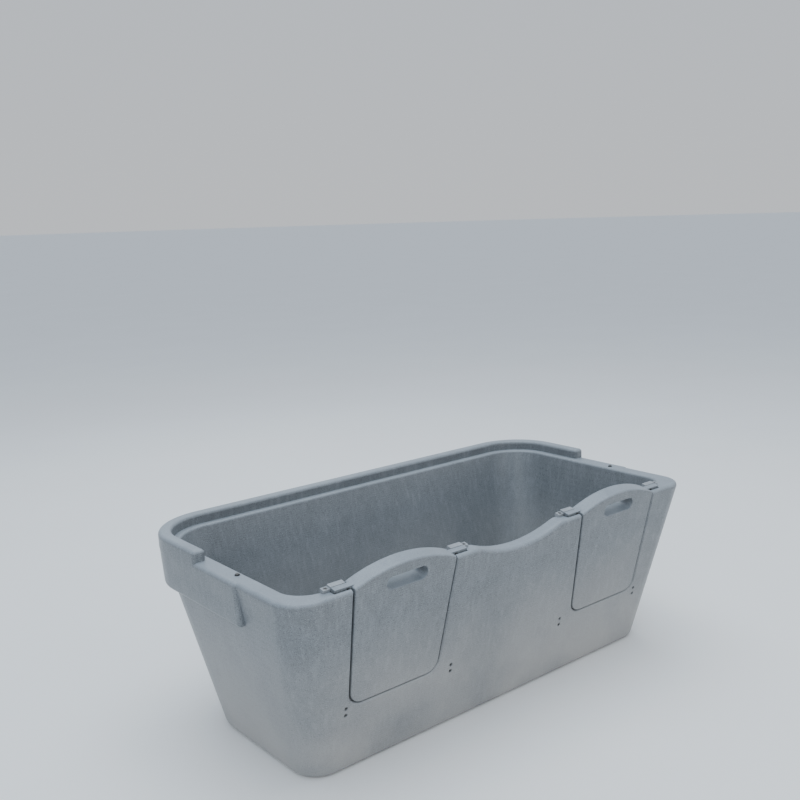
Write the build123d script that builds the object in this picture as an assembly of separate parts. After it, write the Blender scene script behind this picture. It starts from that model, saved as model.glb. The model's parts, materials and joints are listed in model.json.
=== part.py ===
from build123d import *
import os
from math import asin, cos, radians, sin, tan

# Open-topped, double-walled ballast barrier tub with two lift-out gates in its front wall.
# Millimetres. +X runs along the barrier, -Y is the front with the gates, +Z is up, and
# the origin is on the ground at the middle of the footprint.

# ---- overall sizes -------------------------------------------------------
length = 1200.0               # end to end over the rim
width = 640.0                 # front to back over the rim
rim_height = 430.0            # ground to the low part of the rim
long_draft = 12.5             # lean of the front and back walls, degrees
end_draft = 9.8               # lean of the end walls, degrees

# ---- moulding ------------------------------------------------------------
wall = 42.0                   # double wall, outer skin to inner skin
floor_thickness = 42.0        # double floor
skin = 5.0                    # each plastic skin
front_corner = 68.0           # outer corners of the walls
back_corner = 142.0
inner_front_corner = 58.0     # inner corners
inner_back_corner = 104.0
base_edge = 20.0              # rounding where the walls meet the ground
inner_floor_edge = 12.0       # rounding where the inside walls meet the floor
rim_outer_edge = 10.0
rim_inner_edge = 8.0

# ---- raised rear lip and the lifting band below it -----------------------
lip_height = 25.0
lip_width = 30.0
lip_start = 367.0             # front edge of the rim to the step of the lip
lip_edge = 9.0
band_depth = 96.0             # below the low rim
band_start = 200.0            # front edge of the rim to the end of the band
band_proud = 3.0
band_draft = 3.0
band_edge = 9.0

# ---- dip in the rim between the gates ------------------------------------
dip_depth = 26.5
dip_width = 270.0
dip_blend = 40.0

# ---- gates ---------------------------------------------------------------
gate_inner_edge = 191.7       # tub's middle to the seam nearest it, at the rim
gate_outer_edge = 457.2       # tub's middle to the far seam, at the rim
gate_inner_taper = 4.2        # degrees that each seam closes in, going down
gate_outer_taper = 2.4
gate_depth = 279.0            # rim to the sill, along the wall
gate_corner = 35.0            # rounding of the sill's corners
gate_rise = 28.0              # arch of the gate's top above the rim
gate_gap = 4.0                # clearance all round the gate's front
gate_edge = 3.0               # rounding of the gate's front edges
gate_top_edge = 6.0           # rounding along the arch
gate_skin = 4.5
flange_width = 35.0           # tongue of the gate behind the wall's front lip
flange_thickness = 13.5
flange_bottom = 240.0         # rim to the tongue's lower end, along the wall
flange_proud = 3.0            # tongue above the rim
rail_proud = 4.0              # rails above the rim
seal_margin = 8.0             # tongue round the lower corners and the sill
front_lip = 12.0              # wall left in front of the tongue
pocket_clearance = 2.0        # tongue to the sides of its pocket
slide_clearance = 0.5         # tongue to the rails behind it

# ---- hand slot in each gate ----------------------------------------------
slot_length = 104.0
slot_height = 30.0
slot_drop = 12.0              # rim to the middle of the slot, along the wall
slot_edge = 2.5

# ---- gate seal -----------------------------------------------------------
seal_thickness = 2.2
seal_width = 5.5
seal_inset = 1.5              # seam to the near edge of the seal
seal_clearance = 0.3          # seal to the wall's front lip

# ---- guide rails and their screws ----------------------------------------
rail_width = 34.0
rail_clearance = 1.0          # rail to its pocket and to the gate
foot_length = 60.0            # of the rail's foot, along the wall
foot_width = 46.0
foot_side = 14.0              # screw line to the foot's nearest side
screw_lines = (174.0, 452.5)  # tub's middle to the inner and outer screw lines
screw_first = 277.6           # rim to the upper screw, along the wall
screw_spacing = 16.5
screw_shank = 5.0
screw_length = 34.0           # under the head
screw_head = 8.0
screw_head_height = 3.5
screw_recess = 9.0            # counterbore in the wall
screw_sink = 5.5              # depth of that counterbore
socket_size = 3.0             # hexagon across its flats
socket_depth = 2.0
insert_outside = 8.0
insert_length = 13.0
insert_play = 0.1             # screw to insert, on the radius
ear_width = 16.0              # tab that ties the rail's top to the rim
ear_thickness = 8.0
top_screw_length = 22.0

# ---- vent screws of the hollow wall --------------------------------------
vent_from_front = 240.0
vent_from_end = 28.0
vent_shank = 5.0
vent_length = 18.0
vent_head = 8.0
vent_head_height = 2.5
washer_outside = 11.0
washer_thickness = 1.5

# ---- drain ---------------------------------------------------------------
drain_height = 78.0           # ground to the drain's axis, at the outer skin
bushing_outside = 56.0
bushing_bore = 40.0
bushing_flange = 76.0
bushing_flange_thickness = 4.0
plug_play = 0.4               # plug shank to bushing, on the radius
plug_shank = 36.0
plug_head = 62.0
plug_head_thickness = 8.0
plug_grip_height = 14.0
plug_grip_length = 50.0
plug_grip_thickness = 10.0
plug_ring_thickness = 3.0
plug_ring_width = 8.0
plug_hollow = 26.0

# ---- worked out from the sizes above -------------------------------------
lean = radians(long_draft)
front_reach = (gate_rise * cos(lean)) * tan(lean)
centre_shift = (front_reach - band_proud) / 2
front_y = centre_shift - width / 2
back_y = centre_shift + width / 2

# Plane of the outer face of the front wall: x along the tub, y up the slope from the rim
# line, z out of the wall.
front_normal = (0, -cos(lean), -sin(lean))
front_wall = Plane(origin=(0, front_y, rim_height), x_dir=(1, 0, 0), z_dir=front_normal)


def rounded_outline(grow, z):
    """Rounded rectangle of the rim, grown by grow, at height z."""
    half_x = length / 2 + grow
    low_y, high_y = front_y - grow, back_y + grow
    corners = [(-half_x, low_y), (half_x, low_y), (half_x, high_y), (-half_x, high_y)]
    face = make_face(Polyline(*corners, close=True))
    face = fillet(face.vertices().group_by(Axis.Y)[0], front_corner + grow)
    face = fillet(face.vertices().group_by(Axis.Y)[-1], back_corner + grow)
    return Pos(0, 0, z) * face


def seam_at(side_grow, v):
    """Inner and outer seam lines at v along the wall, moved out sideways by side_grow."""
    inner = gate_inner_edge - v * tan(radians(gate_inner_taper)) - side_grow
    outer = gate_outer_edge + v * tan(radians(gate_outer_taper)) + side_grow
    return inner, outer


def gate_outline(side_grow, bottom, top, corner):
    """Wedge between the seams, from the height bottom to the height top along the wall."""
    low_inner, low_outer = seam_at(side_grow, bottom)
    high_inner, high_outer = seam_at(side_grow, top)
    points = [(low_inner, bottom), (low_outer, bottom), (high_outer, top), (high_inner, top)]
    face = make_face(Polyline(*points, close=True))
    if corner > 0:
        face = fillet(face.vertices().group_by(Axis.Y)[0], corner)
    return face


def slab(face, near, far):
    """Solid of an outline on the front wall, from the depth near to the depth far inside it."""
    return extrude(front_wall * Pos(0, 0, -near) * face, amount=near - far)


def block(u_low, u_high, v_low, v_high, near, far):
    """Box on the front wall between two places along it, two up it and two depths."""
    face = Pos((u_low + u_high) / 2, (v_low + v_high) / 2) * Rectangle(u_high - u_low, v_high - v_low)
    return slab(face, near, far)


def wall_rod(u, v, radius, near, far):
    """Round rod square to the front wall."""
    return slab(Pos(u, v) * Circle(radius), near, far)


def mirrored(shape):
    return mirror(shape, about=Plane.YZ)


def both_sides(shape):
    return shape + mirrored(shape)


# ---- gate and what fits it ---------------------------------------------------
inner_depth = wall * cos(lean)          # outer face to inner face, square to the wall
flange_front = front_lip + seal_thickness + seal_clearance
flange_back = flange_front + flange_thickness
rail_front = flange_back + slide_clearance
slot_centre = (sum(seam_at(0, -slot_drop)) / 2, -slot_drop)


def arch_cut():
    """Everything above the arch of a gate's top."""
    low, high = seam_at(-gate_gap, 0)
    arch = ThreePointArc((low, 0), ((low + high) / 2, gate_rise), (high, 0))
    sky = 3 * gate_rise
    corners = [(high, 0), (high + wall, 0), (high + wall, sky)]
    corners += [(low - wall, sky), (low - wall, 0), (low, 0)]
    return make_face(arch + Polyline(*corners))


def gate_core():
    """Gate's plate between the seams, with its arched top and rounded front edges."""
    front = gate_outline(-gate_gap, gate_gap - gate_depth, 2 * gate_rise, gate_corner - gate_gap)
    core = slab(front, 0, inner_depth) - slab(arch_cut(), -skin, inner_depth + skin)
    arch_edges = core.edges().filter_by(GeomType.CIRCLE).sort_by(Axis.Z)[-2:]
    core = fillet(arch_edges, gate_top_edge)
    rim_of_front = core.faces().sort_by(depth_of)[0].edges()
    core = fillet(rim_of_front.filter_by(lambda e: e.center().Z < rim_height), gate_edge)
    core -= slab(slot_outline(0), -skin, inner_depth + skin)
    return fillet(core.edges().filter_by(on_slot_edge), slot_edge)


def gate_tongue():
    """Plate behind the gate that the wall's front lip and the rails hold."""
    face = gate_outline(flange_width, -flange_bottom, flange_proud, 0)
    face += gate_outline(seal_margin, -gate_depth - seal_margin, 0, gate_corner + seal_margin)
    return slab(face, flange_front, flange_back)


def gate_hollow():
    """Sealed space inside the gate, clear of its hand slot."""
    front = gate_outline(-gate_gap, gate_gap - gate_depth, 2 * gate_rise, gate_corner - gate_gap)
    space = slab(offset(front, -gate_skin), gate_skin, inner_depth - gate_skin)
    space -= slab(Pos(0, -gate_skin - gate_top_edge) * arch_cut(), 0, inner_depth)
    return space - slab(slot_outline(gate_skin), 0, inner_depth)


def gate():
    tongue = gate_tongue() - slab(slot_outline(slot_edge), 0, inner_depth)
    return gate_core() + tongue - gate_hollow()


def slot_outline(grow):
    """Outline of the hand slot, grown by grow."""
    return Pos(*slot_centre) * SlotOverall(slot_length + 2 * grow, slot_height + 2 * grow)


def on_slot_edge(edge):
    """True for an edge of the hand slot at the gate's front or back face."""
    place = front_wall.to_local_coords(edge.center())
    near_u = abs(place.X - slot_centre[0]) < slot_length / 2 + slot_edge
    near_v = abs(place.Y - slot_centre[1]) < slot_height / 2 + 0.1
    on_face = min(abs(place.Z), abs(place.Z + inner_depth)) < 0.1
    return near_u and near_v and on_face


def depth_of(face):
    """How far a face's middle lies behind the outer face of the front wall."""
    return -front_wall.to_local_coords(face.center()).Z


def gate_seal():
    reach = seal_inset + seal_width
    outer = gate_outline(reach, -gate_depth - reach, 0, gate_corner + reach)
    inner = gate_outline(seal_inset, -gate_depth - seal_inset, 0, gate_corner + seal_inset)
    return slab(outer - inner, flange_front - seal_thickness, flange_front)


# ---- rails ---------------------------------------------------------------
foot_top = flange_bottom + rail_clearance      # below the rim, along the wall
foot_bottom = foot_top + foot_length


def screw_heights():
    return (-screw_first, -screw_first - screw_spacing)


def foot_span(line):
    """Near and far side of the rail's foot at one screw line."""
    return line - foot_side, line - foot_side + foot_width


def strip_outline(low_grow, high_grow, bottom, top, outer):
    """Strip beside the inner or the outer seam, between two distances from that seam."""
    corners = [(seam_at(low_grow, bottom)[outer], bottom), (seam_at(high_grow, bottom)[outer], bottom)]
    corners += [(seam_at(high_grow, top)[outer], top), (seam_at(low_grow, top)[outer], top)]
    return make_face(Polyline(*corners, close=True))


def ear_span(outer):
    """Near and far side of the tab at the rail's top."""
    edge = seam_at(rail_clearance + rail_width, 0)[outer]
    away = ear_width if outer else -ear_width
    return sorted((edge, edge + away))


def ear_middle(outer):
    return sum(ear_span(outer)) / 2, (flange_back + inner_depth) / 2


def rail_ear(outer):
    """Tab at the rail's top, joined to the strip over a quarter of the strip's width."""
    low, high = ear_span(outer)
    overlap = rail_width / 4
    if outer:
        low -= overlap
    else:
        high += overlap
    return block(low, high, -ear_thickness, 0, rail_front, inner_depth)


def rail(outer):
    far = rail_clearance + rail_width
    face = strip_outline(rail_clearance, far, -foot_top, rail_proud, outer)
    strip = slab(face, rail_front, inner_depth)
    foot = block(*foot_span(screw_lines[outer]), -foot_bottom, -foot_top, front_lip, inner_depth)
    margin = seal_margin + rail_clearance
    corner_room = gate_outline(margin, -gate_depth - margin, 0, gate_corner + margin)
    shape = strip + (foot - slab(corner_room, 0, 2 * wall)) + rail_ear(outer)
    insert_front = inner_depth - insert_length
    for v in screw_heights():
        shape -= wall_rod(screw_lines[outer], v, screw_shank / 2, 0, insert_front)
        shape -= wall_rod(screw_lines[outer], v, insert_outside / 2, insert_front, inner_depth)
    return shape - ear_screw_room(outer)


def gate_pocket(outer):
    """Room cut in the front wall for one rail and the tongue in front of it."""
    reach = flange_width + pocket_clearance
    depth = 2 * wall
    side_face = strip_outline(-wall, reach, -foot_top - rail_clearance, 2 * wall, outer)
    sides = slab(side_face, front_lip, depth)
    low, high = foot_span(screw_lines[outer])
    low, high = low - rail_clearance, high + rail_clearance
    foot = block(low, high, -foot_bottom - rail_clearance, -foot_top, front_lip, depth)
    low, high = ear_span(outer)
    low, high = low - rail_clearance, high + rail_clearance
    ear = block(low, high, -ear_thickness, 2 * wall, rail_front, depth)
    return sides + foot + ear


def gate_opening():
    """Everything cut out of the front wall for one gate, its seal and its rails."""
    margin = seal_margin + pocket_clearance
    seam_face = gate_outline(0, -gate_depth, 2 * wall, gate_corner)
    window = slab(seam_face, -wall, front_lip)
    behind_face = gate_outline(margin, -gate_depth - margin, 2 * wall, gate_corner + margin)
    behind = slab(behind_face, front_lip, 2 * wall)
    mouth = extrude(front_wall * Pos(0, 0, -gate_edge) * seam_face, amount=2 * gate_edge, taper=-45)
    cut = window + behind + mouth + gate_pocket(0) + gate_pocket(1)
    for line in screw_lines:
        for v in screw_heights():
            cut += wall_rod(line, v, screw_shank / 2, -skin, wall)
            cut += wall_rod(line, v, screw_recess / 2, -skin, screw_sink)
    return cut


def solid_zone():
    """Part of the front wall that is moulded solid round one gate."""
    border = flange_width + pocket_clearance + ear_width + skin
    low, high = seam_at(border, 0)
    return block(low, high, -foot_bottom - 2 * skin, wall, -wall, 2 * wall)


# ---- screws --------------------------------------------------------------
def socket_screw(head, head_height, shank, shank_length):
    """Screw along Z with its head's underside at the origin and its shank downwards."""
    shape = Pos(0, 0, head_height / 2) * Cylinder(head / 2, head_height)
    shape = fillet(shape.edges().group_by(Axis.Z)[-1], head_height / 5)
    shape += Pos(0, 0, -shank_length / 2) * Cylinder(shank / 2, shank_length)
    socket = extrude(RegularPolygon(socket_size / 2, 6, major_radius=False), amount=socket_depth)
    return shape - Pos(0, 0, head_height - socket_depth) * socket


def foot_screws(outer):
    screw = socket_screw(screw_head, screw_head_height, screw_shank - 2 * insert_play, screw_length)
    places = [front_wall * Pos(screw_lines[outer], v, -screw_sink) for v in screw_heights()]
    return [place * screw for place in places]


def foot_inserts(outer):
    ring = Circle(insert_outside / 2) - Circle(screw_shank / 2)
    places = [Pos(screw_lines[outer], v) for v in screw_heights()]
    return [slab(place * ring, inner_depth - insert_length, inner_depth) for place in places]


def ear_place(outer):
    """Top of the ear, with Z pointing up the wall."""
    u, depth = ear_middle(outer)
    return front_wall * Pos(u, 0, -depth) * Rot(-90, 0, 0)


def ear_screw_room(outer):
    room = Pos(0, 0, -top_screw_length / 2) * Cylinder(screw_shank / 2, top_screw_length)
    head_room = screw_head / 2 + rail_clearance / 2
    room += Pos(0, 0, -screw_head_height / 2) * Cylinder(head_room, screw_head_height)
    return ear_place(outer) * room


def top_screw(outer):
    screw = socket_screw(screw_head, screw_head_height, screw_shank, top_screw_length - screw_head_height)
    return ear_place(outer) * Pos(0, 0, -screw_head_height) * screw


def vent_place():
    return Pos(length / 2 - vent_from_end, front_y + vent_from_front, rim_height)


def vent_screw():
    screw = socket_screw(vent_head, vent_head_height, vent_shank, vent_length)
    return vent_place() * Pos(0, 0, washer_thickness) * screw


def vent_washer():
    ring = Circle(washer_outside / 2) - Circle(vent_shank / 2)
    return vent_place() * extrude(ring, amount=washer_thickness)


# ---- drain in the back wall -----------------------------------------------
drain_y = back_y - (rim_height - drain_height) * tan(lean)
drain_normal = (0, cos(lean), -sin(lean))
drain_plane = Plane(origin=(0, drain_y, drain_height), x_dir=(1, 0, 0), z_dir=drain_normal)


def drain_rod(radius, low, high):
    return extrude(drain_plane * Pos(0, 0, low) * Circle(radius), amount=high - low)


def drain_bushing():
    body = drain_rod(bushing_outside / 2, -inner_depth, 0)
    flange = drain_rod(bushing_flange / 2, 0, bushing_flange_thickness)
    flange = fillet(outer_circles(flange), bushing_flange_thickness / 4)
    return body + flange - drain_rod(bushing_bore / 2, -wall, wall)


def outer_circles(disc):
    """The rim edge of a disc on the drain's axis that lies furthest out of the wall."""
    outwards = Axis(drain_plane.origin, drain_plane.z_dir)
    return disc.edges().filter_by(GeomType.CIRCLE).sort_by(outwards)[-1:]


def plug_seal():
    low = bushing_flange_thickness
    ring = drain_rod(bushing_bore / 2 + plug_ring_width, low, low + plug_ring_thickness)
    return ring - drain_rod(bushing_bore / 2 - plug_play, 0, wall)


def drain_plug():
    seat = bushing_flange_thickness + plug_ring_thickness
    shank = drain_rod(bushing_bore / 2 - plug_play, -plug_shank + seat, seat)
    head = drain_rod(plug_head / 2, seat, seat + plug_head_thickness)
    head = fillet(outer_circles(head), plug_head_thickness / 3)
    grip_place = drain_plane * Pos(0, 0, seat + plug_head_thickness)
    grip = extrude(grip_place * Rectangle(plug_grip_length, plug_grip_thickness), amount=plug_grip_height)
    hollow = drain_rod(plug_hollow / 2, -plug_shank, seat)
    return shank + head + grip - hollow


# ---- tub -----------------------------------------------------------------
def draft_profile(low_edge, high_edge, slope_angle, low, high):
    """Cross-section between two leaning walls whose faces cross the rim at the two edges."""
    low_in = (rim_height - low) * tan(radians(slope_angle))
    high_in = (rim_height - high) * tan(radians(slope_angle))
    corners = [(low_edge + low_in, low), (high_edge - low_in, low)]
    corners += [(high_edge - high_in, high), (low_edge + high_in, high)]
    return make_face(Polyline(*corners, close=True))


def tapered_body(grow, low, high, front_radius, back_radius):
    """Block between the four leaning walls, grown by grow, with rounded upright corners."""
    along = draft_profile(-length / 2 - grow, length / 2 + grow, end_draft, low, high)
    across = draft_profile(front_y - grow, back_y + grow, long_draft, low, high)
    body = extrude(Plane.XZ * along, amount=length, both=True)
    body = body & extrude(Plane.YZ * across, amount=length, both=True)
    middle = (low + high) / 2
    upright = body.edges().filter_by(lambda e: abs(e.center().Z - middle) < 1)
    body = fillet(upright.sort_by(Axis.Y)[:2], front_radius)
    upright = body.edges().filter_by(lambda e: e.center().Y > 0 and abs(e.center().Z - middle) < 1)
    return fillet(upright, back_radius)


def dip():
    """Cut that lowers the rim between the gates, with a convex blend at each shoulder."""
    half = dip_width / 2
    reach = (half**2 / dip_depth + dip_depth) / 2
    valley = reach - dip_blend
    share = valley / reach
    joint_x, joint_y = half * share, (valley - dip_depth) + (dip_depth - reach) * share
    lean_in = asin(half / reach) / 2
    blend_x, blend_y = half - dip_blend * sin(lean_in), -dip_blend * (1 - cos(lean_in))
    top = 2 * wall
    left = ThreePointArc((-half, 0), (-blend_x, blend_y), (-joint_x, joint_y))
    middle = ThreePointArc((-joint_x, joint_y), (0, -dip_depth), (joint_x, joint_y))
    right = ThreePointArc((joint_x, joint_y), (blend_x, blend_y), (half, 0))
    sky = Polyline((half, 0), (half, top), (-half, top), (-half, 0))
    across = Plane(origin=(0, front_y - wall, rim_height), x_dir=(1, 0, 0), z_dir=(0, -1, 0))
    return extrude(across * make_face(left + middle + right + sky), amount=-3 * wall)


def rear_part(start):
    """Everything behind a line that far from the front edge of the rim."""
    low = front_y + start
    high = back_y + wall
    return Pos(0, (low + high) / 2, rim_height) * Box(2 * length, high - low, 2 * rim_height)


def lifting_band():
    """Raised band round the back and the rear of both ends, with a ledge along its lower edge."""
    taper_in = band_depth * tan(radians(band_draft))
    low = rounded_outline(band_proud - taper_in, rim_height - band_depth)
    high = rounded_outline(band_proud, rim_height)
    band = loft([low, high], ruled=True) & rear_part(band_start)
    middle = rim_height - band_depth / 2
    front_end = front_y + band_start
    end_edges = band.edges().filter_by(lambda e: abs(e.center().Y - front_end) < 1)
    band = fillet(end_edges.filter_by(lambda e: abs(e.center().Z - middle) < 1), band_edge)
    levels = band.edges().group_by(Axis.Z)
    outline = levels[0] + levels[-1]
    return fillet(outline.filter_by(lambda e: e.center().Y > front_end + 1), band_edge)


def rear_lip():
    """Wall that stands on the rim round the back, for the tub that nests above."""
    low = rim_height - band_edge
    tall = lip_height + band_edge
    lip_outer = rounded_outline(band_proud, low)
    lip_inner = rounded_outline(band_proud - lip_width, low)
    ring = extrude(lip_outer, amount=tall) - extrude(lip_inner, amount=tall)
    ring = ring & rear_part(lip_start)
    step = ring.edges().filter_by(Axis.Z).group_by(Axis.Y)[0]
    ring = fillet(step, lip_edge)
    return fillet(ring.edges().group_by(Axis.Z)[-1], lip_edge)


def hollow():
    """Sealed space inside the double wall and floor."""
    top = rim_height - max(rim_outer_edge, skin)
    outside = tapered_body(-skin, skin, top, front_corner - skin, back_corner - skin)
    floor_low = floor_thickness - skin
    corners = (inner_front_corner + skin, inner_back_corner + skin)
    inside = tapered_body(skin - wall, floor_low, 2 * rim_height, *corners)
    space = outside - inside - dip_room() - both_sides(solid_zone())
    return space - drain_rod(bushing_outside / 2 + skin, -2 * wall, wall)


def dip_room():
    """Part of the front wall below the dip that is moulded solid."""
    low = rim_height - dip_depth - rim_outer_edge
    room = Box(dip_width, 4 * wall, rim_height, align=(Align.CENTER, Align.CENTER, Align.MIN))
    return Pos(0, front_y, low) * room


def front_face_y(z):
    """Where the outer face of the front wall lies at a height."""
    return front_y + (rim_height - z) * tan(lean)


def near_front(edge, depth):
    """True for an edge of the front wall's top that lies that far behind the outer face."""
    middle = edge.center()
    return abs(middle.Y - front_face_y(middle.Z) - depth) < 0.5 and middle.Z > rim_height - dip_depth - 1


def rounded_rim(block_with_dip):
    """Round the outer edge of the rim, along the dip as well."""
    level = block_with_dip.edges().filter_by(lambda e: abs(e.center().Z - rim_height) < 0.01)
    outline = level.filter_by(lambda e: abs(e.center().X) > dip_width or e.center().Y > back_y - wall)
    front = block_with_dip.edges().filter_by(lambda e: near_front(e, 0))
    rest = outline.filter_by(lambda e: not near_front(e, 0))
    return fillet(front + rest, rim_outer_edge)


def rounded_inner_rim(shell):
    """Round the inner edge of the rim, along the dip as well."""
    level = shell.edges().filter_by(lambda e: abs(e.center().Z - rim_height) < 0.01)
    ends = level.filter_by(lambda e: abs(abs(e.center().X) - (length / 2 - wall)) < 0.5)
    back = level.filter_by(lambda e: abs(e.center().Y - (back_y - wall)) < 0.5)
    corners = level.filter_by(GeomType.ELLIPSE)
    front = shell.edges().filter_by(lambda e: near_front(e, wall))
    return fillet(front + ends + back + corners, rim_inner_edge)


def tub():
    outside = tapered_body(0, 0, rim_height, front_corner, back_corner)
    outside = fillet(outside.edges().group_by(Axis.Z)[0], base_edge)
    outside = rounded_rim(outside - dip())
    top = rim_height + lip_height + lip_edge
    inside = tapered_body(-wall, floor_thickness, top, inner_front_corner, inner_back_corner)
    inside = fillet(inside.edges().group_by(Axis.Z)[0], inner_floor_edge)
    shell = rounded_inner_rim(outside - inside)
    shell -= drain_rod(bushing_outside / 2, -2 * wall, wall)
    shell += lifting_band() - tapered_body(-wall / 2, 0, 2 * rim_height, front_corner, back_corner)
    shell += rear_lip()
    shell -= both_sides(gate_opening())
    shell -= both_sides(ear_screw_room(0) + ear_screw_room(1))
    vent_hole = Pos(0, 0, -vent_length / 2) * Cylinder(vent_shank / 2, vent_length)
    shell -= both_sides(vent_place() * vent_hole)
    return shell - hollow()


# ---- all the pieces --------------------------------------------------------
def pieces():
    """Each node's name with its solids."""
    found = {"tub_body": [tub()]}
    sides = {"right": lambda shape: shape, "left": mirrored}
    lines = {"inner": 0, "outer": 1}
    for side, place in sides.items():
        found[side + "_gate"] = [place(gate())]
        found[side + "_gate_seal"] = [place(gate_seal())]
        for line, outer in lines.items():
            name = side + "_gate_" + line + "_rail"
            found[name] = [place(rail(outer))]
            found[name + "_screws"] = [place(screw) for screw in foot_screws(outer)]
            found[name + "_inserts"] = [place(insert) for insert in foot_inserts(outer)]
    top_screws = [top_screw(outer) for outer in lines.values()]
    found["rail_top_screws"] = top_screws + [mirrored(screw) for screw in top_screws]
    found["vent_screws"] = [place(vent_screw()) for place in sides.values()]
    found["vent_washers"] = [place(vent_washer()) for place in sides.values()]
    found["drain_bushing"] = [drain_bushing()]
    found["drain_plug"] = [drain_plug()]
    found["drain_plug_seal"] = [plug_seal()]
    return found


def main():
    os.makedirs("parts", exist_ok=True)
    for name, shapes in pieces().items():
        solids = [solid for shape in shapes for solid in shape.solids()]
        export_step(Compound(children=solids), os.path.join("parts", name + ".step"))


main()
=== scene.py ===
import json
import math

import bmesh
import bpy
from bpy.props import FloatProperty, FloatVectorProperty, PointerProperty
from mathutils import Matrix, Vector


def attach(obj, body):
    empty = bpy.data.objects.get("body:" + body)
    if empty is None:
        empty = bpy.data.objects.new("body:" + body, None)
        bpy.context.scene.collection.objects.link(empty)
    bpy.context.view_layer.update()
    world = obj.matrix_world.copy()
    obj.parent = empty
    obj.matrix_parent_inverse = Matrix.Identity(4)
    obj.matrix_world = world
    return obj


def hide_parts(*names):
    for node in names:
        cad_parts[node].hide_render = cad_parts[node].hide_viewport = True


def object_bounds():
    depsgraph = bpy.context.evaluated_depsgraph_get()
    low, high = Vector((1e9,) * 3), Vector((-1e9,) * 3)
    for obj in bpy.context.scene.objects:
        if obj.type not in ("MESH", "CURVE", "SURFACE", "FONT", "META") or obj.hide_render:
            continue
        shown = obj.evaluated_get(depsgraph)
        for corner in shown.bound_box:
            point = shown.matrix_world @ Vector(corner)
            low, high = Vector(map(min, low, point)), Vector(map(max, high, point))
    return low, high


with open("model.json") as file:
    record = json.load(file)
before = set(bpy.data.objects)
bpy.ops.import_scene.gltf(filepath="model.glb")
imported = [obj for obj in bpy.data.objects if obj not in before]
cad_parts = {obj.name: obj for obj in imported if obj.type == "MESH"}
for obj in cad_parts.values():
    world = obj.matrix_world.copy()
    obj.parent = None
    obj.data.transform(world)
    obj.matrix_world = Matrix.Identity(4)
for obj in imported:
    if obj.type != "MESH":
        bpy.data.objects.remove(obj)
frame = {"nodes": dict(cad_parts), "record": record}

bl_info = {
    "name": "Ballast barrier tub",
    "version": (1, 0, 0),
    "blender": (4, 5, 0),
    "location": "3D View > Sidebar > Barrier tub",
    "description": "Finishes a nesting, double-walled barrier tub with lift-out gates",
    "category": "Object",
}

TINY = 0.00002                     # slack when a height is compared
WELD = 0.00001                     # distance under which a CAD mesh's corners are merged
SIDES = ("left", "right")
LINES = ("inner", "outer")
CAD_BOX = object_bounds()
GROUND = CAD_BOX[0][2]

LENS_SHIFT = (-0.0956, 0.0490)     # of the view, across and up
AIM = Vector((0.0, 0.0, 0.25))     # where every light points
COOL, WARM = (0.86, 0.94, 1.0), (1.0, 0.93, 0.84)
HORIZON = (0.87, 0.90, 0.94, 1.0)
ZENITH = (0.72, 0.84, 1.0, 1.0)
FLUTES, FLUTE_STEPS, FLUTE_WIDTH = 12, 8, 3    # of the drain plug: count, faces each, faces cut
FLUTE_RATIO = 0.955                # radius at the bottom of a flute over that of the head
WAIST_RATIO = 0.62                 # thickness of the wing's waist over that of its ends


# ---- settings ----------------------------------------------------------------
class ShellFinish(bpy.types.PropertyGroup):
    """Speckled polyethylene of the tub and its gates."""

    colour: FloatVectorProperty(
        name="Colour", description="Main colour of the plastic", subtype="COLOR",
        size=3, min=0.0, max=1.0, default=(0.156, 0.171, 0.184),
    )
    speck_colour: FloatVectorProperty(
        name="Speck colour", description="Colour of the dark grains in the plastic", subtype="COLOR",
        size=3, min=0.0, max=1.0, default=(0.030, 0.036, 0.045),
    )
    pale_colour: FloatVectorProperty(
        name="Pale grain colour", description="Colour of the pale grains in the plastic", subtype="COLOR",
        size=3, min=0.0, max=1.0, default=(0.46, 0.49, 0.52),
    )
    # Painted sky highlight: faces that look up are painted lighter and bluer, as if lit by the sky.
    sky_highlight_colour: FloatVectorProperty(
        name="Sky highlight colour", description="Painted sky highlight on faces that look up", subtype="COLOR",
        size=3, min=0.0, max=1.0, default=(0.40, 0.455, 0.51),
    )
    # Painted floor bounce: the lower walls are painted lighter and warmer, as if lit by light off the
    # floor.
    bounce_colour: FloatVectorProperty(
        name="Bounce colour", description="Warm floor bounce painted on the lower walls", subtype="COLOR",
        size=3, min=0.0, max=1.0, default=(0.46, 0.445, 0.425),
    )
    grain: FloatProperty(
        name="Grain spacing", description="Distance between neighbouring grains",
        subtype="DISTANCE", unit="LENGTH", min=0.0005, max=0.02, default=0.0027,
    )
    roughness: FloatProperty(
        name="Roughness", description="How dull the moulded surface is", min=0.0, max=1.0, default=0.35,
    )


class FittingFinish(bpy.types.PropertyGroup):
    """Finishes of the rails, seals, screws and drain."""

    rail_colour: FloatVectorProperty(
        name="Rail colour", description="Plain machined plastic of the guide rails", subtype="COLOR",
        size=3, min=0.0, max=1.0, default=(0.30, 0.32, 0.34),
    )
    black_colour: FloatVectorProperty(
        name="Fitting colour", description="Moulded drain fittings", subtype="COLOR",
        size=3, min=0.0, max=1.0, default=(0.018, 0.018, 0.020),
    )
    rubber_colour: FloatVectorProperty(
        name="Rubber colour", description="Seals and washers", subtype="COLOR",
        size=3, min=0.0, max=1.0, default=(0.025, 0.025, 0.026),
    )
    # Painted shade: the steel is made dark to stand in for the shade in the screws' counterbores.
    shaded_steel_colour: FloatVectorProperty(
        name="Shaded steel colour", description="Stainless screws, darkened as painted shade of their counterbores", subtype="COLOR",
        size=3, min=0.0, max=1.0, default=(0.20, 0.195, 0.19),
    )
    brass_colour: FloatVectorProperty(
        name="Brass colour", description="Threaded inserts", subtype="COLOR",
        size=3, min=0.0, max=1.0, default=(0.66, 0.46, 0.20),
    )


def size_property(name, description, default):
    return FloatProperty(
        name=name, description=description, subtype="DISTANCE", unit="LENGTH", min=0.0, default=default
    )


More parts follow.
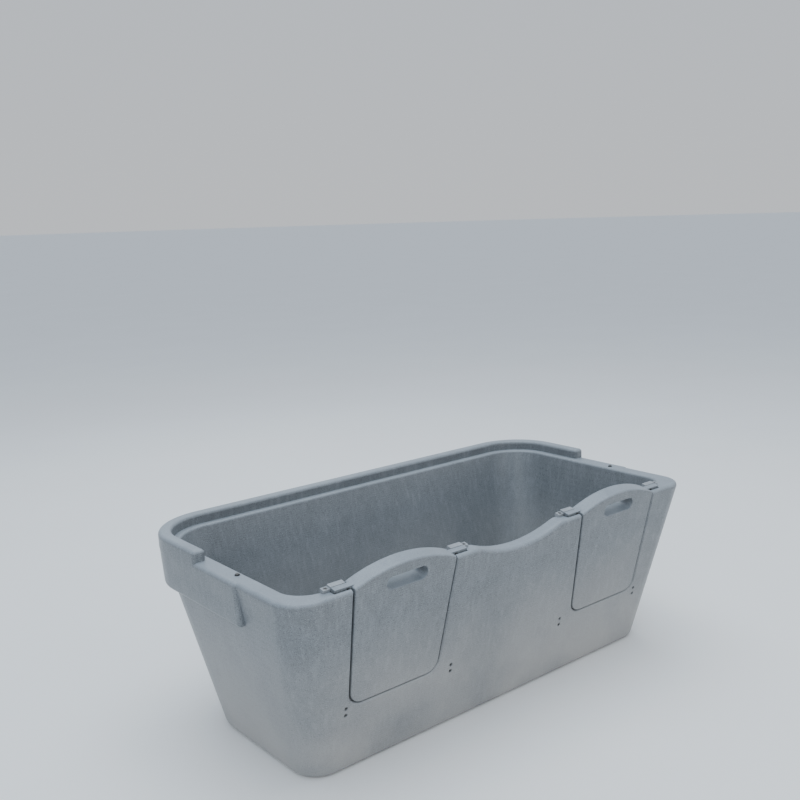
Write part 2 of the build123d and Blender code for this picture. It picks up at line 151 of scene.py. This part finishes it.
class PlugSizes(bpy.types.PropertyGroup):
    """Sizes of the drain plug."""

    seat: size_property("Seat", "Outer face of the wall to the underside of the plug's head", 0.007)
    head_radius: size_property("Head radius", "Radius over the flutes of the head", 0.031)
    head_thickness: size_property("Head thickness", "Thickness of the fluted head", 0.008)
    shank_radius: size_property("Shank radius", "Outside of the shank in the bushing", 0.0196)
    shank_length: size_property("Shank length", "Length of the shank below the head", 0.036)
    bore_radius: size_property("Bore radius", "Inside of the hollow shank", 0.013)
    grip_length: size_property("Grip length", "Length of the wing across the head", 0.050)
    grip_height: size_property("Grip height", "Height of the wing above the head", 0.014)
    grip_thickness: size_property("Grip thickness", "Thickness of the wing at its ends", 0.010)
    rim_ratio: FloatProperty(
        name="Underside ratio", description="Radius of the head's underside over that of the shank",
        min=1.0, default=1.56,
    )


class StageSettings(bpy.types.PropertyGroup):
    """Floor, lights and camera."""

    floor_colour: FloatVectorProperty(
        name="Floor colour", description="Plain studio floor", subtype="COLOR",
        size=3, min=0.0, max=1.0, default=(0.94, 0.94, 0.93),
    )
    camera_place: FloatVectorProperty(
        name="Camera place", description="Where the camera stands", subtype="XYZ",
        unit="LENGTH", size=3, default=(-1.4670, -1.8039, 1.1325),
    )
    camera_yaw: FloatProperty(
        name="Camera heading", description="Heading of the view, clockwise from +Y", subtype="ANGLE",
        unit="ROTATION", default=0.731486,
    )
    camera_pitch: FloatProperty(
        name="Camera pitch", description="How far the view looks down", subtype="ANGLE",
        unit="ROTATION", default=0.228284,
    )
    camera_roll: FloatProperty(
        name="Camera roll", description="Turn of the camera about its view", subtype="ANGLE",
        unit="ROTATION", default=-0.028922,
    )
    lens: FloatProperty(
        name="Lens", description="Focal length in millimetres on a 36 mm sensor", min=1.0, default=44.778,
    )
    key_power: FloatProperty(
        name="Key light", description="Power of the large light above the front left",
        subtype="POWER", unit="POWER", min=0.0, default=28.0,
    )
    top_power: FloatProperty(
        name="Overhead light", description="Power of the large soft light overhead",
        subtype="POWER", unit="POWER", min=0.0, default=120.0,
    )
    low_power: FloatProperty(
        name="Low light", description="Power of the warm light near the floor in front",
        subtype="POWER", unit="POWER", min=0.0, default=16.0,
    )
    fill_power: FloatProperty(
        name="Fill light", description="Power of the lights at the right and behind",
        subtype="POWER", unit="POWER", min=0.0, default=8.0,
    )
    sky: FloatProperty(
        name="Surrounding light", description="Strength of the even light from all round",
        min=0.0, default=0.79,
    )


# ---- shader building -----------------------------------------------------------
class Signal:
    """One output of a node; arithmetic on it adds Math nodes to its material."""

    def __init__(self, finish, socket):
        self.finish = finish
        self.socket = socket

    def math(self, operation, *others):
        values = {i: other for i, other in enumerate((self,) + others)}
        return self.finish.node("ShaderNodeMath", {"operation": operation}, values)

    def __add__(self, other):
        return self.math("ADD", other)

    __radd__ = __add__

    def __sub__(self, other):
        return self.math("SUBTRACT", other)

    def __rsub__(self, other):
        return self.math("MULTIPLY", -1.0).math("ADD", other)

    def __mul__(self, other):
        return self.math("MULTIPLY", other)

    __rmul__ = __mul__

    def between(self, low, high):
        """0 at low and 1 at high, level outside them."""
        limits = {"From Min": low, "From Max": high, "Value": self}
        return self.finish.node("ShaderNodeMapRange", {"clamp": True}, limits, "Result")


class Finish:
    """A procedural material, built from the place of each point on its piece."""

    def __init__(self, name):
        self.material = bpy.data.materials.new(name)
        self.material.use_nodes = True
        self.tree = self.material.node_tree
        self.shader = self.tree.nodes["Principled BSDF"]
        self.place = self.node("ShaderNodeTexCoord", {}, {}, "Object")

    def node(self, kind, settings, values, output=0):
        made = self.tree.nodes.new(kind)
        for name, value in settings.items():
            setattr(made, name, value)
        for key, value in values.items():
            self.feed(made.inputs[key], value)
        return Signal(self, made.outputs[output])

    def feed(self, socket, value):
        if isinstance(value, Signal):
            self.tree.links.new(value.socket, socket)
        else:
            socket.default_value = value

    def noise(self, size, detail=2.0, place=None):
        """Soft noise whose features are about size metres across."""
        values = {"Vector": place or self.place, "Scale": 1.0 / size, "Detail": detail}
        return self.node("ShaderNodeTexNoise", {}, values)

    def cells(self, size, output, place=None):
        values = {"Vector": place or self.place, "Scale": 1.0 / size}
        return self.node("ShaderNodeTexVoronoi", {}, values, output)

    def part_of(self, colour, name):
        """One channel of a colour."""
        return self.node("ShaderNodeSeparateColor", {}, {0: colour}, name)

    def stretched(self, x, y, z):
        """The place, with its axes scaled, for marks that run one way."""
        return self.node("ShaderNodeMapping", {}, {"Vector": self.place, "Scale": (x, y, z)})

    def height(self):
        """Height above the ground in metres."""
        return self.node("ShaderNodeSeparateXYZ", {}, {0: self.place}, "Z")

    def facing_up(self):
        """1 on a level face, 0 on an upright one, -1 on an underside."""
        normal = self.node("ShaderNodeTexCoord", {}, {}, "Normal")
        return self.node("ShaderNodeSeparateXYZ", {}, {0: normal}, "Z")

    def blend(self, share, first, second):
        """Colour that goes from first to second as share goes from 0 to 1."""
        made = self.tree.nodes.new("ShaderNodeMix")
        made.data_type = "RGBA"
        for key, value in ((0, share), (6, first), (7, second)):
            self.feed(made.inputs[key], value)
        return Signal(self, made.outputs[2])

    def bump(self, height, depth, below=None):
        """Surface relief whose full height is depth metres."""
        values = {"Height": height, "Distance": depth, "Strength": 1.0}
        if below:
            values["Normal"] = below
        return self.node("ShaderNodeBump", {}, values)

    def surface(self, **values):
        for name, value in values.items():
            self.feed(self.shader.inputs[name.replace("_", " ")], value)
        return self.material


def rgba(colour, gain=1.0):
    return tuple(channel * gain for channel in colour) + (1.0,)


def shell_plastic(name, settings, shift):
    """Moulded polyethylene with dark and pale grains, a painted sky highlight on the tops, painted warm
    floor bounce low down and mould ripple.
    """
    finish = Finish(name)
    place = finish.node("ShaderNodeMapping", {}, {"Vector": finish.place, "Location": shift})
    coarse, fine = settings.grain, settings.grain * 0.45
    chance = finish.part_of(finish.cells(coarse, "Color", place), "Red")
    dark = finish.cells(coarse, "Distance", place).between(0.46, 0.16) * chance.between(0.44, 0.66)
    chance = finish.part_of(finish.cells(fine, "Color", place), "Green")
    pale = finish.cells(fine, "Distance", place).between(0.5, 0.25) * chance.between(0.70, 0.86)
    mottle = finish.noise(0.035, 3.0, place)
    cloud = finish.noise(0.24, 2.0, place)
    tone = (mottle * 0.45 + cloud * 0.55).between(0.36, 0.64)
    base = finish.blend(tone, rgba(settings.colour, 0.90), rgba(settings.colour, 1.10))
    base = finish.blend(dark * 0.74, base, rgba(settings.speck_colour))
    base = finish.blend(pale * 0.58, base, rgba(settings.pale_colour))
    # Painted sky highlight: faces that look up are blended towards a lighter, bluer colour, as if lit by
    # the sky; it also makes them a little rougher.
    sky_highlight = finish.facing_up().between(0.10, 0.85) * (finish.noise(0.06, 4.0, place) * 0.6 + 0.7)
    base = finish.blend(sky_highlight * 0.42, base, rgba(settings.sky_highlight_colour))
    rubbed = finish.noise(0.010, 4.0, finish.stretched(1.0, 1.0, 0.16)).between(0.50, 0.80)
    base = finish.blend(rubbed * 0.16, base, rgba(settings.pale_colour))
    # Painted floor bounce: the lower walls are blended in blotches towards a lighter, warmer colour, as
    # if lit by light off the floor; it also makes them rougher.
    floor_bounce = finish.height().between(0.34, 0.05) * finish.noise(0.22, 3.0).between(0.15, 0.62)
    base = finish.blend(floor_bounce * 0.62, base, rgba(settings.bounce_colour))
    ripple = finish.bump(finish.noise(0.12, 1.0, place), 0.0030)
    peel = finish.bump(finish.noise(0.0034, 2.0, place), 0.00016, ripple)
    rough = rubbed * 0.10 + floor_bounce * 0.14 + sky_highlight * 0.06 + mottle * 0.06 + (settings.roughness - 0.05)
    return finish.surface(Base_Color=base, Roughness=rough, Normal=peel, Specular_IOR_Level=0.42)


def rail_plastic(name, settings):
    """Sawn and planed polyethylene with fine tool marks along the strip."""
    finish = Finish(name)
    marks = finish.noise(0.0016, 3.0, finish.stretched(1.0, 0.08, 0.05))
    tone = finish.noise(0.02, 3.0)
    shade = (marks * 0.6 + tone * 0.4).between(0.35, 0.65)
    colour = finish.blend(shade, rgba(settings.rail_colour, 0.86), rgba(settings.rail_colour, 1.14))
    relief = finish.bump(marks, 0.00012)
    return finish.surface(Base_Color=colour, Roughness=marks * 0.2 + 0.40, Normal=relief)


def moulded_black(name, settings):
    finish = Finish(name)
    grain = finish.noise(0.0011, 3.0)
    wear = finish.noise(0.009, 5.0).between(0.52, 0.75)
    colour = finish.blend(wear * 0.5, rgba(settings.black_colour), rgba(settings.black_colour, 3.2))
    return finish.surface(
        Base_Color=colour, Roughness=wear * 0.22 + 0.34, Normal=finish.bump(grain, 0.00008)
    )


def rubber(name, settings):
    finish = Finish(name)
    bloom = finish.noise(0.006, 4.0).between(0.45, 0.75)
    colour = finish.blend(bloom * 0.45, rgba(settings.rubber_colour), (0.13, 0.13, 0.13, 1.0))
    relief = finish.bump(finish.noise(0.0009, 2.0), 0.00010)
    return finish.surface(Base_Color=colour, Roughness=bloom * 0.15 + 0.68, Normal=relief)


def turned_metal(name, colour, roughness):
    """Bright metal with fine lathe marks and dull spots."""
    finish = Finish(name)
    marks = finish.noise(0.0004, 2.0, finish.stretched(1.0, 1.0, 0.2))
    dull = finish.noise(0.003, 4.0).between(0.5, 0.72)
    tint = finish.blend(dull * 0.5, rgba(colour), rgba(colour, 0.55))
    rough = marks * 0.14 + dull * 0.22 + (roughness - 0.07)
    relief = finish.bump(marks, 0.00003)
    return finish.surface(Base_Color=tint, Roughness=rough, Normal=relief, Metallic=1.0)


def floor_paint(name, colour):
    finish = Finish(name)
    tone = finish.noise(0.6, 3.0).between(0.35, 0.65)
    paint = finish.blend(tone, rgba(colour, 0.985), rgba(colour))
    return finish.surface(Base_Color=paint, Roughness=0.9)


# ---- modelling helpers -----------------------------------------------------------
def clear_selection():
    bpy.ops.object.select_all(action="DESELECT")


def only(piece):
    """Makes piece the one selected and active object."""
    clear_selection()
    piece.select_set(True)
    bpy.context.view_layer.objects.active = piece


def paint(piece, material):
    piece.data.materials.clear()
    piece.data.materials.append(material)


def finish_node(node, material):
    """Gives a carried-over CAD node its material, in every slot."""
    source = frame["nodes"][node]
    if not source.material_slots:
        source.data.materials.append(material)
    for slot in source.material_slots:
        slot.material = material


def smooth_copy(node, piece_name, material, body, angle=28.0):
    """Copies a CAD node's mesh as a welded, smoothly shaded piece that stands for it."""
    source = frame["nodes"][node]
    piece = bpy.data.objects.new(piece_name, source.data.copy())
    bpy.context.scene.collection.objects.link(piece)
    only(piece)
    bpy.ops.object.mode_set(mode="EDIT")
    bpy.ops.mesh.select_all(action="SELECT")
    bpy.ops.mesh.remove_doubles(threshold=WELD)
    bpy.ops.mesh.customdata_custom_splitnormals_clear()
    bpy.ops.object.mode_set(mode="OBJECT")
    bpy.ops.object.shade_smooth_by_angle(angle=math.radians(angle))
    weighted = piece.modifiers.new("Even shading", "WEIGHTED_NORMAL")
    weighted.keep_sharp = True
    weighted.weight = 100
    bpy.ops.object.modifier_apply(modifier=weighted.name)
    paint(piece, material)
    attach(piece, body)
    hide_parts(node)
    return piece


def edit(piece, mode):
    """Opens piece in edit mode with nothing selected, ready to pick faces or edges."""
    only(piece)
    bpy.ops.object.mode_set(mode="EDIT")
    return edit_again(piece, mode)


def edit_again(piece, mode):
    """Clears the selection in edit mode and reads the changed mesh."""
    bpy.context.tool_settings.mesh_select_mode = (mode == "VERT", mode == "EDGE", mode == "FACE")
    bpy.ops.mesh.select_all(action="DESELECT")
    return bmesh.from_edit_mesh(piece.data)


def pick(piece, mesh, items, wanted):
    """Selects the faces or edges that wanted accepts."""
    for item in items:
        item.select_set(wanted(item))
    mesh.select_flush_mode()
    bmesh.update_edit_mesh(piece.data)


def edge_at(edge, height, reach):
    """True for an edge at that height, with both ends at least reach from the axis."""
    return all(
        abs(v.co.z - height) < TINY and math.hypot(v.co.x, v.co.y) > reach for v in edge.verts
    )


def leave_edit():
    bpy.ops.mesh.select_all(action="SELECT")
    bpy.ops.mesh.normals_make_consistent(inside=False)
    bpy.ops.object.mode_set(mode="OBJECT")


# ---- operators -------------------------------------------------------------------
class BARRIER_OT_stage(bpy.types.Operator):
    """Sets up the floor, the studio lights and the camera"""

    bl_idname = "barrier.stage"
    bl_label = "Stage"

    def execute(self, context):
        settings = context.scene.barrier_stage
        self.add_floor(settings)
        self.add_light("Key", settings.key_power, 2.0, (-2.6, -2.0, 2.2), COOL)
        self.add_light("Overhead", settings.top_power, 3.6, (0.2, 0.4, 4.2), COOL)
        self.add_light("Low", settings.low_power, 1.8, (0.2, -3.2, 0.45), WARM)
        self.add_light("Fill", settings.fill_power, 2.4, (2.4, -1.8, 1.6), WARM)
        self.add_light("Back", settings.fill_power, 2.2, (0.8, 2.6, 2.2), COOL)
        self.add_sky(context, settings.sky)
        self.add_camera(context, settings)
        return {"FINISHED"}

    def add_floor(self, settings):
        """A plain floor, wide enough to reach the horizon."""
        clear_selection()
        bpy.ops.mesh.primitive_circle_add(
            vertices=96, radius=90.0, fill_type="NGON", location=(0.0, 0.0, GROUND)
        )
        floor = bpy.context.active_object
        floor.name = "studio_floor"
        paint(floor, floor_paint("Studio floor", settings.floor_colour))

    def add_light(self, name, power, size, place, colour):
        light = bpy.data.lights.new(name, "AREA")
        light.energy = power
        light.color = colour
        light.size = size
        lamp = bpy.data.objects.new(name, light)
        aim = AIM - Vector(place)
        lamp.matrix_world = Matrix.Translation(place) @ aim.to_track_quat("-Z", "Y").to_matrix().to_4x4()
        bpy.context.scene.collection.objects.link(lamp)

    def add_sky(self, context, strength):
        """An even sky, pale at the horizon and a little bluer overhead."""
        world = bpy.data.worlds.new("Studio")
        world.use_nodes = True
        tree = world.node_tree
        place, axes, climb, mix = (
            tree.nodes.new("ShaderNode" + kind) for kind in ("TexCoord", "SeparateXYZ", "MapRange", "Mix")
        )
        mix.data_type = "RGBA"
        climb.inputs["From Max"].default_value = 0.8
        mix.inputs[6].default_value = HORIZON
        mix.inputs[7].default_value = ZENITH
        background = tree.nodes["Background"]
        for start, end in (
            (place.outputs["Generated"], axes.inputs[0]), (axes.outputs["Z"], climb.inputs["Value"]),
            (climb.outputs[0], mix.inputs[0]), (mix.outputs[2], background.inputs["Color"]),
        ):
            tree.links.new(start, end)
        background.inputs["Strength"].default_value = strength
        context.scene.world = world

    def add_camera(self, context, settings):
        yaw, pitch, roll = settings.camera_yaw, settings.camera_pitch, settings.camera_roll
        ahead = Vector((
            math.sin(yaw) * math.cos(pitch), math.cos(yaw) * math.cos(pitch), -math.sin(pitch)
        ))
        level_right = Vector((math.cos(yaw), -math.sin(yaw), 0.0))
        level_up = level_right.cross(ahead)
        right = level_right * math.cos(roll) + level_up * math.sin(roll)
        up = level_up * math.cos(roll) - level_right * math.sin(roll)
        turn = Matrix((right, up, -ahead)).transposed().to_4x4()
        lens = bpy.data.cameras.new("View")
        lens.lens = settings.lens
        lens.sensor_width = 36.0
        lens.shift_x, lens.shift_y = LENS_SHIFT
        camera = bpy.data.objects.new("View", lens)
        camera.matrix_world = Matrix.Translation(settings.camera_place) @ turn
        context.scene.collection.objects.link(camera)
        context.scene.camera = camera


class BARRIER_OT_tub(bpy.types.Operator):
    """Finishes the tub's moulded body"""

    bl_idname = "barrier.tub"
    bl_label = "Tub"

    def execute(self, context):
        plastic = shell_plastic("Tub plastic", context.scene.barrier_shell, (0.0, 0.0, 0.0))
        smooth_copy("tub_body", "tub_shell", plastic, "tub")
        return {"FINISHED"}


class BARRIER_OT_gates(bpy.types.Operator):
    """Finishes the two lift-out gates and the seals on them"""

    bl_idname = "barrier.gates"
    bl_label = "Gates"

    def execute(self, context):
        settings = context.scene.barrier_shell
        strip = rubber("Seal rubber", context.scene.barrier_fittings)
        for side, shift in zip(SIDES, ((3.1, 0.4, 0.0), (7.7, 1.9, 0.0))):
            plastic = shell_plastic(side.title() + " gate plastic", settings, shift)
            body = side + "_gate"
            smooth_copy(body, side + "_gate_panel", plastic, body)
            finish_node(side + "_gate_seal", strip)
        return {"FINISHED"}


class BARRIER_OT_rails(bpy.types.Operator):
    """Finishes the guide rails that hold the gates from inside"""

    bl_idname = "barrier.rails"
    bl_label = "Guide rails"

    def execute(self, context):
        plastic = rail_plastic("Rail plastic", context.scene.barrier_fittings)
        for side in SIDES:
            for line in LINES:
                finish_node(side + "_gate_" + line + "_rail", plastic)
        return {"FINISHED"}


class BARRIER_OT_fasteners(bpy.types.Operator):
    """Finishes the screws, the threaded inserts and the vent washers"""

    bl_idname = "barrier.fasteners"
    bl_label = "Fasteners"

    def execute(self, context):
        settings = context.scene.barrier_fittings
        # The steel colour is dark as painted shade of the counterbores the screws sit in.
        steel = turned_metal("Stainless", settings.shaded_steel_colour, 0.30)
        brass = turned_metal("Brass", settings.brass_colour, 0.34)
        for side in SIDES:
            for line in LINES:
                rail = side + "_gate_" + line + "_rail"
                finish_node(rail + "_screws", steel)
                finish_node(rail + "_inserts", brass)
        finish_node("rail_top_screws", steel)
        finish_node("vent_screws", steel)
        finish_node("vent_washers", rubber("Washer rubber", settings))
        return {"FINISHED"}


class BARRIER_OT_drain(bpy.types.Operator):
    """Models the drain plug and finishes its bushing and seal in the back wall"""

    bl_idname = "barrier.drain"
    bl_label = "Drain"

    def execute(self, context):
        settings = context.scene.barrier_fittings
        sizes = context.scene.barrier_plug
        black = moulded_black("Moulded black", settings)
        smooth_copy("drain_bushing", "drain_collar", black, "tub")
        plug = self.model_cap(sizes)
        grip = self.model_grip(sizes)
        only(plug)
        grip.select_set(True)
        bpy.ops.object.join()
        plug.name = "drain_stopper"
        bpy.ops.object.shade_smooth_by_angle(angle=math.radians(32.0))
        self.put_in_wall(plug)
        paint(plug, black)
        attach(plug, "drain_plug")
        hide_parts("drain_plug")
        finish_node("drain_plug_seal", rubber("Plug rubber", settings))
        return {"FINISHED"}

    def model_cap(self, sizes):
        """Fluted head with a hollow shank below it, its axis up Z."""
        around = FLUTES * FLUTE_STEPS
        radius, seat, thick = sizes.head_radius, sizes.seat, sizes.head_thickness
        clear_selection()
        bpy.ops.mesh.primitive_cylinder_add(
            vertices=around, radius=radius, depth=thick, location=(0.0, 0.0, seat + thick / 2)
        )
        bpy.ops.object.transform_apply()
        cap = bpy.context.active_object
        turn = 2 * math.pi / around

        def in_flute(face):
            middle = face.calc_center_median()
            place = int(math.atan2(middle.y, middle.x) / turn + around)
            return abs(face.normal.z) < 0.5 and place % FLUTE_STEPS < FLUTE_WIDTH

        mesh = edit(cap, "FACE")
        pick(cap, mesh, mesh.faces, in_flute)
        bpy.ops.transform.resize(value=(FLUTE_RATIO, FLUTE_RATIO, 1.0), center_override=(0.0, 0.0, 0.0))
        for height, offset in ((seat + thick, thick * 0.28), (seat, thick * 0.08)):
            mesh = edit_again(cap, "EDGE")
            pick(cap, mesh, mesh.edges, lambda edge: edge_at(edge, height, radius * 0.9))
            bpy.ops.mesh.bevel(offset=offset, segments=3, affect="EDGES")
        mesh = edit_again(cap, "FACE")
        pick(cap, mesh, mesh.faces, lambda face: face.normal.z > 0.99)
        bpy.ops.mesh.inset(thickness=radius * 0.16)
        bpy.ops.transform.translate(value=(0.0, 0.0, -thick * 0.12))
        mesh = edit_again(cap, "FACE")
        pick(cap, mesh, mesh.faces, lambda face: face.normal.z < -0.99)
        bpy.ops.mesh.delete(type="FACE")
        leave_edit()
        shank = self.model_shank(sizes, around)
        only(cap)
        shank.select_set(True)
        bpy.ops.object.join()
        return cap

    def model_shank(self, sizes, count):
        """Tube below the head, open at its inner end, closed by the head's underside."""
        clear_selection()
        length = sizes.shank_length
        bpy.ops.mesh.primitive_cylinder_add(
            vertices=count, radius=sizes.shank_radius, depth=length,
            location=(0.0, 0.0, sizes.seat - length / 2), end_fill_type="NGON",
        )
        bpy.ops.object.transform_apply()
        shank = bpy.context.active_object
        mesh = edit(shank, "FACE")
        pick(shank, mesh, mesh.faces, lambda face: face.normal.z < -0.9)
        bpy.ops.mesh.inset(thickness=sizes.shank_radius - sizes.bore_radius)
        bpy.ops.mesh.extrude_region_move()
        bpy.ops.transform.translate(value=(0.0, 0.0, length * 0.9))
        mesh = edit_again(shank, "FACE")
        pick(shank, mesh, mesh.faces, lambda face: face.normal.z > 0.9)
        bpy.ops.mesh.extrude_region_move()
        bpy.ops.transform.resize(
            value=(sizes.rim_ratio, sizes.rim_ratio, 1.0), center_override=(0.0, 0.0, 0.0)
        )
        leave_edit()
        return shank

    def model_grip(self, sizes):
        """Wing across the head, waisted for the fingers, with rounded edges."""
        seat = sizes.seat + sizes.head_thickness
        tall = sizes.grip_height
        clear_selection()
        bpy.ops.mesh.primitive_cube_add(size=1.0, location=(0.0, 0.0, seat + tall / 2 - 0.001))
        grip = bpy.context.active_object
        grip.scale = (sizes.grip_length, sizes.grip_thickness, tall)
        bpy.ops.object.transform_apply()
        mesh = edit(grip, "FACE")
        bpy.ops.mesh.select_all(action="SELECT")
        bpy.ops.mesh.subdivide(number_cuts=3)
        mesh = edit_again(grip, "FACE")
        waist = sizes.grip_length * 0.3
        pick(grip, mesh, mesh.faces, lambda face: all(abs(v.co.x) < waist for v in face.verts))
        bpy.ops.transform.resize(value=(1.0, WAIST_RATIO, 1.0), center_override=(0.0, 0.0, 0.0))
        leave_edit()
        for name, kind in (("Round", "BEVEL"), ("Soften", "SUBSURF")):
            step = grip.modifiers.new(name, kind)
            if kind == "BEVEL":
                step.width, step.segments = sizes.grip_thickness * 0.16, 2
                step.angle_limit = math.radians(40.0)
            else:
                step.levels = step.render_levels = 1
            bpy.ops.object.modifier_apply(modifier=step.name)
        return grip

    def put_in_wall(self, plug):
        """Turns the plug's axis to the drain's and moves it to the outer face of the wall."""
        drain = next(m for m in frame["record"]["mounts"] if m["name"] == "drain_outlet")
        out, along = Vector(drain["axis"]).normalized(), Vector((1.0, 0.0, 0.0))
        turn = Matrix((along, out.cross(along), out)).transposed().to_4x4()
        only(plug)
        plug.matrix_world = Matrix.Translation(drain["pos_m"]) @ turn
        bpy.ops.object.transform_apply(location=True, rotation=True, scale=True)


STEPS = (
    BARRIER_OT_stage, BARRIER_OT_tub, BARRIER_OT_gates, BARRIER_OT_rails,
    BARRIER_OT_fasteners, BARRIER_OT_drain,
)


class BARRIER_PT_panel(bpy.types.Panel):
    """Lists the steps that finish the tub"""

    bl_label = "Barrier tub"
    bl_idname = "BARRIER_PT_panel"
    bl_space_type = "VIEW_3D"
    bl_region_type = "UI"
    bl_category = "Barrier tub"

    def draw(self, context):
        scene = context.scene
        groups = (scene.barrier_shell, scene.barrier_fittings, scene.barrier_plug, scene.barrier_stage)
        for group in groups:
            box = self.layout.box()
            for name in group.__annotations__:
                box.prop(group, name)
        for step in STEPS:
            self.layout.operator(step.bl_idname)


CLASSES = (ShellFinish, FittingFinish, PlugSizes, StageSettings) + STEPS + (BARRIER_PT_panel,)


def register():
    for item in CLASSES:
        bpy.utils.register_class(item)
    bpy.types.Scene.barrier_shell = PointerProperty(type=ShellFinish)
    bpy.types.Scene.barrier_fittings = PointerProperty(type=FittingFinish)
    bpy.types.Scene.barrier_plug = PointerProperty(type=PlugSizes)
    bpy.types.Scene.barrier_stage = PointerProperty(type=StageSettings)


def unregister():
    del bpy.types.Scene.barrier_stage
    del bpy.types.Scene.barrier_plug
    del bpy.types.Scene.barrier_fittings
    del bpy.types.Scene.barrier_shell
    for item in reversed(CLASSES):
        bpy.utils.unregister_class(item)


def main():
    register()
    bpy.ops.barrier.stage()
    bpy.ops.barrier.tub()
    bpy.ops.barrier.gates()
    bpy.ops.barrier.rails()
    bpy.ops.barrier.fasteners()
    bpy.ops.barrier.drain()


if __name__ == "__main__":
    main()
